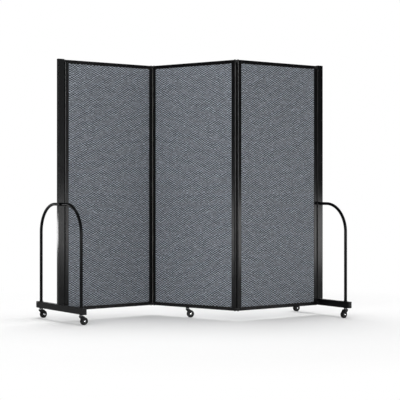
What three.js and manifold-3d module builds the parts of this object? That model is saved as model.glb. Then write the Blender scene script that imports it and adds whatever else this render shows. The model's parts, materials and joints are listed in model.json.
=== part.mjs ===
// Ward privacy screen on wheels: three fabric-covered panels in a zigzag, joined by full-height
// double-pivot hinges, with a wheeled, T-shaped end frame and a tube hoop at each end.
// Millimetres, +Z up. The origin is on the floor under the middle panel's centre, +X runs along the
// screen to the right and +Y runs away from the viewer.
// Everything right of the middle panel is modelled once, and the left side is its half-turn copy.
import * as THREE from "three";
import { mergeVertices } from "three/addons/utils/BufferGeometryUtils.js";
import Module from "manifold-3d";

const wasm = await Module();
wasm.setup();

// Clearances
const seatGap = 0.3; // between pieces that touch, and round a pin in its hole
const overrun = 5; // how far a cutting shape passes the faces that it cuts

// Screen
const panelHeight = 1460; // one panel, over its top and bottom rails
const floorGap = 60; // from the floor to the panels and the foot bars
const frameThickness = 17;
const pinPitch = 599; // across one panel, from hinge pin to hinge pin
const zigzagAngle = THREE.MathUtils.degToRad(36); // each panel to the line along the screen

// Panel frame
const stileInset = 18; // from a hinge pin to the fabric's edge
const railHeight = 20;
const grooveDepth = 5; // slot in stiles and rails that holds the core board
const coreThickness = 10;
const fabricThickness = 3; // cloth over its backing, on each face of the core
const fabricEdgeRound = 1.2;

// Hinges
const pinRadius = 3;
const pinSpacing = 18; // between the two pins of a double hinge
const pinStand = 4; // of a pin above and below the panels
const pinChamfer = 0.8;
const linkHeight = 14; // of a hinge link, and of an ear round an end hinge's pin
const endPinStand = 1.5;

// End frames
const postInset = 10; // from the end hinge's pin to the post's inner edge
const postReach = 51; // from the end hinge's pin to the post's outer edge
const postThickness = 20;
const postCorner = 2; // radius of the post's long edges
const postWall = 2.5;
const postCapHeight = 3.4;
const postCapPlugDepth = 10;
const footBarHeight = 38;
const footBarWidth = 25;
const footBarLength = 550;
const footBarWall = 2;
const footCapThickness = 3;
const footCapPlugDepth = 12;
const footCapChamfer = 0.8;
const hoopTop = 680; // from the floor to the hoop's centreline
const hoopTubeRadius = 9;
const hoopBendRadius = 167; // of the centreline
const hoopCollarRadius = 11.5;
const hoopCollarHeight = 5;
const casterInset = 40; // from an end of the foot bar to its caster and the hoop's leg

// Casters
const wheelRadius = 22;
const wheelWidth = 18;
const wheelTreadWidth = 11; // the flat of the tread, between its rounded shoulders
const wheelShoulderDrop = 2.5;
const wheelRimDepth = 5;
const wheelDishDepth = 1.5;
const wheelHubRadius = 8;
const casterTrail = 17; // from the swivel's axis to the wheel's centre
const axleRadius = 3;
const axleHeadRadius = 4.8;
const axleHeadHeight = 1.5;
const forkSideGap = 1; // from the wheel's sides to the fork's cheeks
const forkTopGap = 1.8; // from the tread to the fork's bridge
const forkCheek = 2;
const forkBridge = 5;
const forkBossRadius = 6.5;
const forkFrontReach = 10; // of the bridge ahead of the swivel's axis
const forkRearReach = 12; // of the bridge behind the swivel's axis
const swivelHeadRadius = 11;
const stemRadius = 5;
const stemHeight = 14; // of the stem above the underside that it enters
const middleCasterShift = 44; // from the middle panel's centre towards its left edge

// Where the wheels trail at rest, turned from +X towards +Y
const leftFrontTrail = THREE.MathUtils.degToRad(30);
const leftRearTrail = THREE.MathUtils.degToRad(48);
const middleTrail = THREE.MathUtils.degToRad(6);
const rightFrontTrail = THREE.MathUtils.degToRad(225);
const rightRearTrail = THREE.MathUtils.degToRad(35);

// Facets
const arcSides = 12; // of each arc in an outline
const pinSegments = 12;
const wheelSegments = 24;
const hoopSides = 12;
const hoopSteps = 56;

// Worked out from the sizes above
const edgeRadius = frameThickness / 2;
const panelTop = floorGap + panelHeight;
const holeRadius = pinRadius + seatGap;
const openingWidth = pinPitch - 2 * stileInset;
const coreReach = grooveDepth - seatGap;
const grooveHalfWidth = coreThickness / 2 + seatGap;
const grooveFloor = stileInset - grooveDepth;
const notchInset = edgeRadius + 2 * seatGap;
const footBarTop = floorGap + footBarHeight;
const casterOffset = footBarLength / 2 - casterInset;
const postBottom = footBarTop + seatGap;
const postCentre = (postInset + postReach) / 2;
const postHalf = postThickness / 2;
const postHollow = postHalf - postWall;
const lowerEarBottom = footBarTop - linkHeight;
const upperLinkBottom = panelTop - linkHeight;
const axleHeight = wheelRadius * Math.cos(Math.PI / wheelSegments);
const stemTop = floorGap + stemHeight;
const stemHoleRadius = stemRadius + seatGap;

// The finishes: colour, roughness and metalness
const finishes = {
  frame: [0x1f1f22, 0.35, 0.6],
  hinge: [0x2a2a2d, 0.4, 0.6],
  fabric: [0x787c85, 0.95, 0],
  core: [0xb9a98c, 0.9, 0],
  plastic: [0x18181a, 0.55, 0],
  tyre: [0x141415, 0.7, 0],
  axle: [0xd6d8da, 0.25, 0.9],
};

// A named mesh with a material of its own.
function piece(name, geometry, finish) {
  const [color, roughness, metalness] = finishes[finish];
  const material = new THREE.MeshStandardMaterial({ color, roughness, metalness });
  const mesh = new THREE.Mesh(geometry, material);
  mesh.name = name;
  return mesh;
}

// Booleans

function solidOf(geometry) {
  const bare = geometry.clone();
  bare.deleteAttribute("normal");
  bare.deleteAttribute("uv");
  const merged = mergeVertices(bare);
  const vertProperties = merged.attributes.position.array;
  const triVerts = new Uint32Array(merged.index.array);
  return new wasm.Manifold(new wasm.Mesh({ numProp: 3, vertProperties, triVerts }));
}

function geometryOf(solid) {
  const { vertProperties, triVerts } = solid.getMesh();
  const geometry = new THREE.BufferGeometry();
  geometry.setAttribute("position", new THREE.BufferAttribute(vertProperties, 3));
  geometry.setIndex(new THREE.BufferAttribute(triVerts, 1));
  geometry.computeVertexNormals();
  return geometry;
}

function joined(...geometries) {
  return geometryOf(geometries.map(solidOf).reduce((whole, part) => whole.add(part)));
}

function cut(geometry, ...tools) {
  return geometryOf(tools.map(solidOf).reduce((whole, tool) => whole.subtract(tool), solidOf(geometry)));
}

// Basic shapes

const axisX = new THREE.Vector3(1, 0, 0);
const axisY = new THREE.Vector3(0, 1, 0);
const axisZ = new THREE.Vector3(0, 0, 1);
// Turns a section drawn in Y and Z so that its extrusion runs along X.
const alongX = new THREE.Matrix4().makeBasis(axisY, axisZ, axisX);
// Turns a section drawn in X and Z so that its extrusion runs along -Y.
const alongY = new THREE.Matrix4().makeBasis(axisX, axisZ, axisY.clone().negate());

function boxBetween(low, high) {
  const size = high.map((value, i) => value - low[i]);
  const centre = high.map((value, i) => (value + low[i]) / 2);
  return new THREE.BoxGeometry(...size).translate(...centre);
}

// Extrudes a shape upwards from one height to another.
function upright(shape, bottom, top) {
  const settings = { depth: top - bottom, bevelEnabled: false, curveSegments: arcSides / 2 };
  return new THREE.ExtrudeGeometry(shape, settings).translate(0, 0, bottom);
}

// A round bar of the given radius, upright at x, y.
function uprightRound(radius, bottom, top, x = 0, y = 0) {
  const bar = new THREE.CylinderGeometry(radius, radius, top - bottom, pinSegments);
  return bar.rotateX(Math.PI / 2).translate(x, y, (bottom + top) / 2);
}

// An upright pin with chamfered ends.
function chamferedPin(radius, bottom, top) {
  const profile = [
    [0, bottom],
    [radius - pinChamfer, bottom],
    [radius, bottom + pinChamfer],
    [radius, top - pinChamfer],
    [radius - pinChamfer, top],
    [0, top],
  ];
  const points = profile.map(([r, z]) => new THREE.Vector2(r, z));
  return new THREE.LatheGeometry(points, pinSegments).rotateX(Math.PI / 2);
}

function rectangle(xLow, xHigh, yLow, yHigh, Kind = THREE.Shape) {
  const outline = new Kind();
  outline.moveTo(xLow, yLow);
  outline.lineTo(xHigh, yLow);
  outline.lineTo(xHigh, yHigh);
  outline.lineTo(xLow, yHigh);
  outline.closePath();
  return outline;
}

function roundedRectangle(xLow, xHigh, yLow, yHigh, corner) {
  const outline = new THREE.Shape();
  const quarter = Math.PI / 2;
  outline.absarc(xHigh - corner, yLow + corner, corner, -quarter, 0, false);
  outline.absarc(xHigh - corner, yHigh - corner, corner, 0, quarter, false);
  outline.absarc(xLow + corner, yHigh - corner, corner, quarter, 2 * quarter, false);
  outline.absarc(xLow + corner, yLow + corner, corner, 2 * quarter, 3 * quarter, false);
  outline.closePath();
  return outline;
}

// A bar seen from above: square at x = start, with a half round of the given radius about x = centre.
function roundEnded(start, centre, radius) {
  const outline = new THREE.Shape();
  outline.moveTo(start, -radius);
  outline.lineTo(centre, -radius);
  outline.absarc(centre, 0, radius, -Math.PI / 2, Math.PI / 2, false);
  outline.lineTo(start, radius);
  outline.closePath();
  return outline;
}

function pinHole(x = 0) {
  return new THREE.Path().absarc(x, 0, holeRadius, 0, 2 * Math.PI, false);
}

// Panels

// A stile stands with its pin's axis on Z and its round edge towards +X. notches are the bottoms of
// the openings that take a hinge link or an ear.
function stileGeometry(notches) {
  const section = new THREE.Shape();
  section.moveTo(-stileInset, -edgeRadius);
  section.lineTo(0, -edgeRadius);
  section.absarc(0, 0, edgeRadius, -Math.PI / 2, Math.PI / 2, false);
  section.lineTo(-stileInset, edgeRadius);
  section.lineTo(-stileInset, grooveHalfWidth);
  section.lineTo(-grooveFloor, grooveHalfWidth);
  section.lineTo(-grooveFloor, -grooveHalfWidth);
  section.lineTo(-stileInset, -grooveHalfWidth);
  section.closePath();
  section.holes.push(pinHole());
  const reach = edgeRadius + overrun;
  const tools = notches.map((bottom) => {
    const high = bottom + linkHeight + seatGap;
    return boxBetween([-notchInset, -reach, bottom - seatGap], [reach, reach, high]);
  });
  return cut(upright(section, floorGap, panelTop), ...tools);
}

// A rail lies along X with its groove facing up or down.
function railGeometry(bottom, grooveUp) {
  const outer = grooveUp ? bottom : bottom + railHeight;
  const inner = grooveUp ? bottom + railHeight : bottom;
  const floor = grooveUp ? inner - grooveDepth : inner + grooveDepth;
  const section = new THREE.Shape();
  section.moveTo(-edgeRadius, outer);
  section.lineTo(edgeRadius, outer);
  section.lineTo(edgeRadius, inner);
  section.lineTo(grooveHalfWidth, inner);
  section.lineTo(grooveHalfWidth, floor);
  section.lineTo(-grooveHalfWidth, floor);
  section.lineTo(-grooveHalfWidth, inner);
  section.lineTo(-edgeRadius, inner);
  section.closePath();
  const length = openingWidth - 2 * seatGap;
  const settings = { depth: length, bevelEnabled: false };
  return new THREE.ExtrudeGeometry(section, settings)
    .translate(0, 0, -length / 2)
    .applyMatrix4(alongX);
}

function coreGeometry() {
  const halfWidth = openingWidth / 2 + coreReach;
  const halfDepth = coreThickness / 2;
  const low = floorGap + railHeight - coreReach;
  const high = panelTop - railHeight + coreReach;
  return boxBetween([-halfWidth, -halfDepth, low], [halfWidth, halfDepth, high]);
}

// A cloth face with a rounded border. side is +1 for the face towards +Y and -1 for the other.
function fabricGeometry(side) {
  const halfWidth = openingWidth / 2 - seatGap;
  const bottom = floorGap + railHeight + seatGap;
  const top = panelTop - railHeight - seatGap;
  const outline = rectangle(
    -halfWidth + fabricEdgeRound,
    halfWidth - fabricEdgeRound,
    bottom + fabricEdgeRound,
    top - fabricEdgeRound,
  );
  const settings = {
    depth: fabricThickness - 2 * fabricEdgeRound,
    bevelSize: fabricEdgeRound,
    bevelThickness: fabricEdgeRound,
    bevelSegments: 2,
    curveSegments: 1,
  };
  const innerFace = coreThickness / 2 + seatGap;
  const sheet = new THREE.ExtrudeGeometry(outline, settings)
    .translate(0, 0, fabricEdgeRound + innerFace)
    .applyMatrix4(alongY);
  return side > 0 ? sheet.rotateZ(Math.PI) : sheet;
}

// One panel, centred on its group's origin. positiveEnd and negativeEnd name its +X and -X edges,
// positiveFace and negativeFace its +Y and -Y faces. The notches are those of each edge.
function panelGroup(name, words, positiveNotches, negativeNotches) {
  const group = new THREE.Group();
  const railBottom = railGeometry(floorGap, true);
  const add = (part, geometry, finish) => {
    const mesh = piece(`${name}_${part}`, geometry, finish);
    group.add(mesh);
    return mesh;
  };
  const far = add(`stile_${words.positiveEnd}`, stileGeometry(positiveNotches), "frame");
  far.position.x = pinPitch / 2;
  const near = add(`stile_${words.negativeEnd}`, stileGeometry(negativeNotches), "frame");
  near.position.x = -pinPitch / 2;
  near.rotation.z = Math.PI;
  add("rail_top", railGeometry(panelTop - railHeight, false), "frame");
  add("rail_bottom", name === "middle_panel" ? casterRail(railBottom) : railBottom, "frame");
  add("core_board", coreGeometry(), "core");
  add(`fabric_${words.positiveFace}`, fabricGeometry(1), "fabric");
  add(`fabric_${words.negativeFace}`, fabricGeometry(-1), "fabric");
  return group;
}

// The middle panel's bottom rail has a hole for its caster's stem.
function casterRail(rail) {
  const through = floorGap + railHeight;
  return cut(rail, uprightRound(stemHoleRadius, floorGap - overrun, through, -middleCasterShift));
}

// Hinges

const hingeNotches = [floorGap, upperLinkBottom];
const endNotches = [lowerEarBottom, upperLinkBottom];

// A link plate joins the pins of two neighbouring stiles.
function linkGeometry(bottom) {
  const outline = new THREE.Shape();
  outline.moveTo(0, -edgeRadius);
  outline.lineTo(pinSpacing, -edgeRadius);
  outline.absarc(pinSpacing, 0, edgeRadius, -Math.PI / 2, Math.PI / 2, false);
  outline.lineTo(0, edgeRadius);
  outline.absarc(0, 0, edgeRadius, Math.PI / 2, 1.5 * Math.PI, false);
  outline.holes.push(pinHole(), pinHole(pinSpacing));
  return upright(outline, bottom, bottom + linkHeight);
}

function hingeGroup(name, outerWord) {
  const group = new THREE.Group();
  const pin = () => chamferedPin(pinRadius, floorGap - pinStand, panelTop + pinStand);
  const outerPin = piece(`${name}_pin_${outerWord}`, pin(), "hinge");
  outerPin.position.x = pinSpacing;
  group.add(piece(`${name}_link_top`, linkGeometry(upperLinkBottom), "hinge"));
  group.add(piece(`${name}_link_bottom`, linkGeometry(floorGap), "hinge"));
  group.add(piece(`${name}_pin_middle`, pin(), "hinge"));
  group.add(outerPin);
  return group;
}

// End frames

// An ear round the pin in the outer panel's edge. It reaches from the pin to x = root.
function earGeometry(root, bottom) {
  const outline = roundEnded(-root, 0, edgeRadius);
  outline.holes.push(pinHole());
  return upright(outline, bottom, bottom + linkHeight).rotateZ(Math.PI);
}

// The hollow post, with the hole that the hoop passes through and an open side at the top, where
// the cap's ear comes out.
function postGeometry() {
  const section = roundedRectangle(postInset, postReach, -postHalf, postHalf, postCorner);
  const hollowEnds = [postInset + postWall, postReach - postWall];
  section.holes.push(rectangle(...hollowEnds, -postHollow, postHollow, THREE.Path));
  const depth = postThickness + 2 * overrun;
  const radius = hoopTubeRadius + seatGap;
  const hole = new THREE.CylinderGeometry(radius, radius, depth, hoopSides);
  hole.translate(postCentre, 0, hoopTop);
  const reach = postHalf + overrun;
  const side = boxBetween(
    [postInset - overrun, -reach, upperLinkBottom - seatGap],
    [postInset + postWall + seatGap, reach, panelTop + overrun],
  );
  return cut(upright(section, postBottom, panelTop), hole, side);
}

// The cap covers the post's top. It has a plug in the post's hollow, and the hinge's upper ear.
function postCapGeometry() {
  const bottom = panelTop + seatGap;
  const cover = roundedRectangle(postInset, postReach, -postHalf, postHalf, postCorner);
  const half = postHollow - seatGap;
  const plug = rectangle(postInset, postReach - postWall - seatGap, -half, half);
  return joined(
    upright(cover, bottom, bottom + postCapHeight),
    upright(plug, bottom - postCapPlugDepth, bottom + postCapHeight / 2),
    earGeometry(postInset + postWall, upperLinkBottom),
  );
}

// The hoop's centreline, an inverted U in Y and Z, followed from the -Y leg to the +Y leg.
class HoopPath extends THREE.Curve {
  getPoint(t, point = new THREE.Vector3()) {
    const crown = casterOffset - hoopBendRadius;
    const bend = (hoopBendRadius * Math.PI) / 2;
    const leg = hoopTop - hoopBendRadius - postBottom;
    const fromTop = (2 * t - 1) * (crown + bend + leg);
    const side = Math.sign(fromTop);
    const along = Math.abs(fromTop);
    if (along <= crown) {
      return point.set(0, side * along, hoopTop);
    }
    if (along <= crown + bend) {
      const turn = (along - crown) / hoopBendRadius;
      const out = crown + hoopBendRadius * Math.sin(turn);
      const down = hoopBendRadius * (1 - Math.cos(turn));
      return point.set(0, side * out, hoopTop - down);
    }
    return point.set(0, side * casterOffset, hoopTop - hoopBendRadius - (along - crown - bend));
  }
}

function hoopGeometry() {
  const section = new THREE.Shape().absarc(0, 0, hoopTubeRadius, 0, 2 * Math.PI, false);
  const settings = {
    extrudePath: new HoopPath(),
    steps: hoopSteps,
    curveSegments: hoopSides / 2,
    bevelEnabled: false,
  };
  const collars = [-casterOffset, casterOffset].map((y) =>
    uprightRound(hoopCollarRadius, postBottom, postBottom + hoopCollarHeight, 0, y),
  );
  return joined(new THREE.ExtrudeGeometry(section, settings), ...collars);
}

// The foot bar is a rectangular tube along Y, with the hinge's lower ear on its side and a hole under
// it for each caster's stem.
function footBarGeometry() {
  const half = footBarWidth / 2;
  const section = rectangle(-half, half, floorGap, footBarTop);
  const hollow = half - footBarWall;
  const low = floorGap + footBarWall;
  section.holes.push(rectangle(-hollow, hollow, low, footBarTop - footBarWall, THREE.Path));
  const length = footBarLength - 2 * (footCapThickness + seatGap);
  const tube = new THREE.ExtrudeGeometry(section, { depth: length, bevelEnabled: false })
    .translate(0, 0, -length / 2)
    .applyMatrix4(alongY);
  const holes = [-casterOffset, casterOffset].map((y) =>
    uprightRound(stemHoleRadius, floorGap - overrun, floorGap + footBarWall + overrun, 0, y),
  );
  const earRoot = postCentre - half + footBarWall / 2;
  const ear = earGeometry(earRoot, lowerEarBottom).translate(-postCentre, 0, 0);
  return cut(joined(tube, ear), ...holes);
}

// The plug that closes the foot bar's +Y end.
function footCapGeometry() {
  const half = footBarWidth / 2 - footCapChamfer;
  const low = floorGap + footCapChamfer;
  const high = footBarTop - footCapChamfer;
  const face = footBarLength / 2;
  const flange = new THREE.ExtrudeGeometry(rectangle(-half, half, low, high), {
    depth: footCapThickness - 2 * footCapChamfer,
    bevelSize: footCapChamfer,
    bevelThickness: footCapChamfer,
    bevelSegments: 1,
    curveSegments: 1,
  })
    .translate(0, 0, footCapChamfer - face)
    .applyMatrix4(alongY);
  const inside = footBarWall + seatGap;
  const plugHalf = footBarWidth / 2 - inside;
  const plug = boxBetween(
    [-plugHalf, face - footCapThickness - footCapPlugDepth, floorGap + inside],
    [plugHalf, face - footCapThickness / 2, footBarTop - inside],
  );
  return joined(flange, plug);
}

// Casters

// The fork: two cheeks and a bridge over the wheel, the swivel head and the stem.
function forkGeometry() {
  const bridgeBottom = axleHeight + wheelRadius + forkTopGap;
  const bridgeTop = bridgeBottom + forkBridge;
  const outline = new THREE.Shape();
  outline.moveTo(-forkFrontReach, bridgeTop);
  outline.lineTo(-forkFrontReach, bridgeBottom);
  outline.lineTo(casterTrail - forkBossRadius, axleHeight);
  outline.absarc(casterTrail, axleHeight, forkBossRadius, Math.PI, 2 * Math.PI, false);
  outline.lineTo(forkRearReach + forkBossRadius, bridgeBottom);
  outline.lineTo(forkRearReach, bridgeTop);
  outline.closePath();
  const hole = new THREE.Path();
  hole.absarc(casterTrail, axleHeight, axleRadius + seatGap, 0, 2 * Math.PI, false);
  outline.holes.push(hole);
  const slotHalf = wheelWidth / 2 + forkSideGap;
  const width = 2 * (slotHalf + forkCheek);
  const settings = { depth: width, bevelEnabled: false, curveSegments: arcSides / 2 };
  const body = new THREE.ExtrudeGeometry(outline, settings)
    .translate(0, 0, -width / 2)
    .applyMatrix4(alongY);
  const reach = casterTrail + wheelRadius + overrun;
  const slot = boxBetween([-reach, -slotHalf, 0], [reach, slotHalf, bridgeBottom]);
  const head = uprightRound(swivelHeadRadius, bridgeTop - forkBridge / 2, floorGap - seatGap);
  const stem = uprightRound(stemRadius, bridgeTop, stemTop);
  return joined(cut(body, slot), head, stem);
}

// The wheel turns about Y. Its facets are laid so that it rests on a flat one.
function wheelGeometry() {
  const treadRadius = wheelRadius;
  const shoulder = wheelRadius - wheelShoulderDrop;
  const rim = wheelRadius - wheelRimDepth;
  const side = wheelWidth / 2;
  const halfProfile = [
    [axleRadius + seatGap, side],
    [wheelHubRadius, side],
    [wheelHubRadius + wheelDishDepth, side - wheelDishDepth],
    [rim - wheelDishDepth, side - wheelDishDepth],
    [rim, side],
    [shoulder, side],
    [treadRadius, wheelTreadWidth / 2],
  ];
  const mirrored = halfProfile.map(([r, y]) => [r, -y]).reverse();
  const loop = [...halfProfile, ...mirrored, halfProfile[0]].reverse();
  const points = loop.map(([r, y]) => new THREE.Vector2(r, y));
  return new THREE.LatheGeometry(points, wheelSegments, Math.PI / wheelSegments);
}

function axleGeometry() {
  const face = wheelWidth / 2 + forkSideGap + forkCheek + seatGap;
  const end = face + axleHeadHeight;
  const dome = axleHeadRadius - axleHeadHeight / 2;
  const half = [
    [0, end],
    [dome, end],
    [axleHeadRadius, end - axleHeadHeight / 2],
    [axleHeadRadius, face],
    [axleRadius, face],
  ];
  const profile = [...half, ...half.map(([r, y]) => [r, -y]).reverse()].reverse();
  const points = profile.map(([r, y]) => new THREE.Vector2(r, y));
  return new THREE.LatheGeometry(points, pinSegments);
}

// A caster whose swivel's axis is its group's Z axis and whose wheel trails towards +X.
function casterGroup(name) {
  const group = new THREE.Group();
  const wheel = piece(`${name}_wheel`, wheelGeometry(), "tyre");
  const axle = piece(`${name}_axle`, axleGeometry(), "axle");
  wheel.position.set(casterTrail, 0, axleHeight);
  axle.position.copy(wheel.position);
  group.add(piece(`${name}_fork`, forkGeometry(), "plastic"), wheel, axle);
  return group;
}

// One end frame, with its hinge pin's axis on Z and its post towards +X. facing gives the words for
// its +Y and -Y ends, and trails the world headings of the wheels there, turned back by its heading.
function endFrameGroup(name, facing, trails, heading) {
  const group = new THREE.Group();
  group.add(piece(`${name}_end_post`, postGeometry(), "frame"));
  group.add(piece(`${name}_end_post_cap`, postCapGeometry(), "frame"));
  const pin = chamferedPin(pinRadius, lowerEarBottom, panelTop + endPinStand);
  group.add(piece(`${name}_end_hinge_pin`, pin, "hinge"));
  const foot = new THREE.Group();
  foot.position.x = postCentre;
  foot.add(piece(`${name}_hoop`, hoopGeometry(), "frame"));
  foot.add(piece(`${name}_foot_bar`, footBarGeometry(), "frame"));
  [1, -1].forEach((side, i) => {
    const cap = piece(`${name}_foot_cap_${facing[i]}`, footCapGeometry(), "plastic");
    cap.rotation.z = side > 0 ? 0 : Math.PI;
    const caster = casterGroup(`${name}_${facing[i]}_caster`);
    caster.position.y = side * casterOffset;
    caster.rotation.z = trails[i] - heading;
    foot.add(cap, caster);
  });
  group.add(foot);
  return group;
}

// Assembly

// What stands to the right of the middle panel, in the whole screen's frame.
function sideGroup(words) {
  const group = new THREE.Group();
  const hinge = hingeGroup(`${words.side}_hinge`, "outer");
  hinge.position.set((pinPitch / 2) * Math.cos(zigzagAngle), (-pinPitch / 2) * Math.sin(zigzagAngle), 0);
  const panel = panelGroup(`${words.side}_panel`, words.panel, endNotches, hingeNotches);
  panel.rotation.z = zigzagAngle;
  const reach = new THREE.Vector3(Math.cos(zigzagAngle), Math.sin(zigzagAngle), 0);
  const innerPin = hinge.position.clone().addScaledVector(axisX, pinSpacing);
  panel.position.copy(innerPin).addScaledVector(reach, pinPitch / 2);
  const endFrame = endFrameGroup(words.side, words.facing, words.trails, zigzagAngle + words.turn);
  endFrame.position.copy(innerPin).addScaledVector(reach, pinPitch);
  endFrame.rotation.z = zigzagAngle;
  group.add(hinge, panel, endFrame);
  group.rotation.z = words.turn;
  return group;
}

const screen = new THREE.Group();

const middleWords = {
  positiveEnd: "right",
  negativeEnd: "left",
  positiveFace: "rear",
  negativeFace: "front",
};
const middlePanel = panelGroup("middle_panel", middleWords, hingeNotches, hingeNotches);
middlePanel.rotation.z = -zigzagAngle;
const middleCaster = casterGroup("middle_caster");
middleCaster.position.x = -middleCasterShift;
middleCaster.rotation.z = middleTrail + zigzagAngle;
middlePanel.add(middleCaster);

const rightSide = sideGroup({
  side: "right",
  turn: 0,
  panel: { positiveEnd: "outer", negativeEnd: "inner", positiveFace: "rear", negativeFace: "front" },
  facing: ["rear", "front"],
  trails: [rightRearTrail, rightFrontTrail],
});
const leftSide = sideGroup({
  side: "left",
  turn: Math.PI,
  panel: { positiveEnd: "outer", negativeEnd: "inner", positiveFace: "front", negativeFace: "rear" },
  facing: ["front", "rear"],
  trails: [leftFrontTrail, leftRearTrail],
});

screen.add(middlePanel, rightSide, leftSide);

export default screen;
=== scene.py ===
import json
import math

import bmesh
import bpy
from mathutils import Matrix, Vector, noise

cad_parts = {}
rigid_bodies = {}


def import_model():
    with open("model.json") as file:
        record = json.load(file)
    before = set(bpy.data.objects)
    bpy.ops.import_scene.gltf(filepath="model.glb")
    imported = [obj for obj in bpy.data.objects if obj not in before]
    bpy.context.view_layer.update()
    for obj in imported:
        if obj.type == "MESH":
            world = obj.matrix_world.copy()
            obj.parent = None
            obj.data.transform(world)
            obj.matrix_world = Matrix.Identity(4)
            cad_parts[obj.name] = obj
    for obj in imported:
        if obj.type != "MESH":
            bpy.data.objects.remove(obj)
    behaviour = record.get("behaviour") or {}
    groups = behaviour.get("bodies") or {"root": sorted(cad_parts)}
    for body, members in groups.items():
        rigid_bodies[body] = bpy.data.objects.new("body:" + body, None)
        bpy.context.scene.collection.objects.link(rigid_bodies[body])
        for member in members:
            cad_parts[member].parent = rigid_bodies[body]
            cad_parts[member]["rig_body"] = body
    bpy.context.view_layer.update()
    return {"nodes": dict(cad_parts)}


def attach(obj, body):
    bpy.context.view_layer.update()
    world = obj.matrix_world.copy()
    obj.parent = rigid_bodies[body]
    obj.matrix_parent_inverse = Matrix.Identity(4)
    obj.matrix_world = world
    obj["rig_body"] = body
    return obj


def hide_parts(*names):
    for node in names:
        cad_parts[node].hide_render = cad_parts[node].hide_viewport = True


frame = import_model()

# ---------------------------------------------------------------- sizes, as in the CAD source
MM = 0.001
PANEL_TOP = 1520 * MM
FLOOR_GAP = 60 * MM  # from the floor to the frames, and to the foot bars
RAIL = 20 * MM
SEAT = 0.3 * MM  # play between two parts that fit together
HALF_OPENING = 281.5 * MM
HALF_CORE = 5 * MM
CLOTH = 3 * MM
HALF_FRAME = 8.5 * MM
PIN_PITCH = 599 * MM  # between the two pins of one panel
PIN_SPACING = 18 * MM  # between the two pins of one hinge
PIN_RADIUS = 3 * MM
PIN_STAND = 4 * MM
END_PIN_STAND = 1.5 * MM
ZIGZAG = math.radians(36)
POST_CENTRE = 30.5 * MM
FOOT_HALF = 275 * MM
FOOT_WIDTH = 25 * MM
FOOT_TOP = 98 * MM
FOOT_WALL = 2 * MM
LINK = 14 * MM  # height of a hinge link
CAP_THICKNESS = 3 * MM
CAP_PLUG = 12 * MM
HOOP_TOP = 680 * MM
HOOP_RADIUS = 9 * MM
HOOP_BEND = 167 * MM
COLLAR_RADIUS = 11.5 * MM
COLLAR_HEIGHT = 5 * MM
CASTER_OFFSET = 235 * MM
WHEEL_RADIUS = 22 * MM
WHEEL_HALF = 9 * MM
TRAIL = 17 * MM
AXLE_HEIGHT = WHEEL_RADIUS * math.cos(math.pi / 24)
AXLE_RADIUS = 3 * MM
FORK_SLOT = 10 * MM
FORK_HALF = 12 * MM
BRIDGE_BOTTOM = AXLE_HEIGHT + 23.8 * MM
BRIDGE_TOP = BRIDGE_BOTTOM + 5 * MM
HEAD_RADIUS = 11 * MM
STEM_RADIUS = 5 * MM
STEM_TOP = 74 * MM

SIDES = {"right": Matrix.Identity(4), "left": Matrix.Rotation(math.pi, 4, "Z")}
TRAILS = {
    "left_front": math.radians(30),
    "left_rear": math.radians(48),
    "middle": math.radians(6),
    "right_front": math.radians(225),
    "right_rear": math.radians(35),
}

# ---------------------------------------------------------------- sizes of the looks alone
FRAME_EDGE = 0.55 * MM  # how far the frames' sharp edges are rounded
LINK_EDGE = 0.6 * MM
POST_CAP_EDGE = 0.7 * MM
FINE_EDGE = 0.4 * MM
CROWN = 0.35 * MM  # how far the middle of a cloth face stands out
TUCK = 3.2 * MM  # width of the border where the cloth rounds down to its backing
PULL = 0.12 * MM  # unevenness of a cloth face
# Thickness and depth of the black strips in the hinge gaps, which are painted shade that closes
# those gaps, and half widths of those at the posts.
GAP_SHADE_STRIP_SIZES = {"right": (0.94 * MM, 14.4 * MM), "left": (0.90 * MM, 14.4 * MM)}
END_GAP_SHADE_STRIP_HALVES = {"right": 8 * MM, "left": 1.5 * MM}
STRIP_END = 0.5 * MM  # strips stop this far from the hinge links
STRIP_STEPS = 12

WELD = 0.02 * MM  # points nearer than this become one
CLOSE = 0.1 * MM  # within this, a point lies on a named plane
FLAT = math.radians(1)
SHARP = math.radians(33)
QUARTER = math.pi / 2


# ---------------------------------------------------------------- places
def placed(x, y, heading):
    return Matrix.Translation((x, y, 0)) @ Matrix.Rotation(heading, 4, "Z")


def hinge_place(side):
    x = PIN_PITCH / 2 * math.cos(ZIGZAG)
    y = -PIN_PITCH / 2 * math.sin(ZIGZAG)
    return SIDES[side] @ placed(x, y, 0)


def outward(side, along):
    """The place on the outer panel's line, along metres out from its inner pin."""
    shift = Matrix.Translation((PIN_SPACING, 0, 0)) @ Matrix.Rotation(ZIGZAG, 4, "Z")
    return hinge_place(side) @ shift @ Matrix.Translation((along, 0, 0))


PANELS = {
    "middle_panel": placed(0, 0, -ZIGZAG),
    "right_panel": outward("right", PIN_PITCH / 2),
    "left_panel": outward("left", PIN_PITCH / 2),
}
END_PINS = {side: outward(side, PIN_PITCH) for side in SIDES}
FEET = {side: END_PINS[side] @ Matrix.Translation((POST_CENTRE, 0, 0)) for side in SIDES}
# The word for the local +Y end of each foot, and for its -Y end.
FOOT_ENDS = {"right": ("rear", "front"), "left": ("front", "rear")}
MIDDLE_CASTER = Vector((-44 * MM, 0, 0))  # on the middle panel's line
ABOUT_Y = Matrix.Rotation(-QUARTER, 4, "X")  # turns a form made about Z so that it lies about Y


def caster_places():
    spots = {"middle": PANELS["middle_panel"] @ MIDDLE_CASTER}
    for side, words in FOOT_ENDS.items():
        for word, y in zip(words, (CASTER_OFFSET, -CASTER_OFFSET)):
            spots[f"{side}_{word}"] = FEET[side] @ Vector((0, y, 0))
    return {name: placed(p.x, p.y, TRAILS[name]) for name, p in spots.items()}


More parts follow.
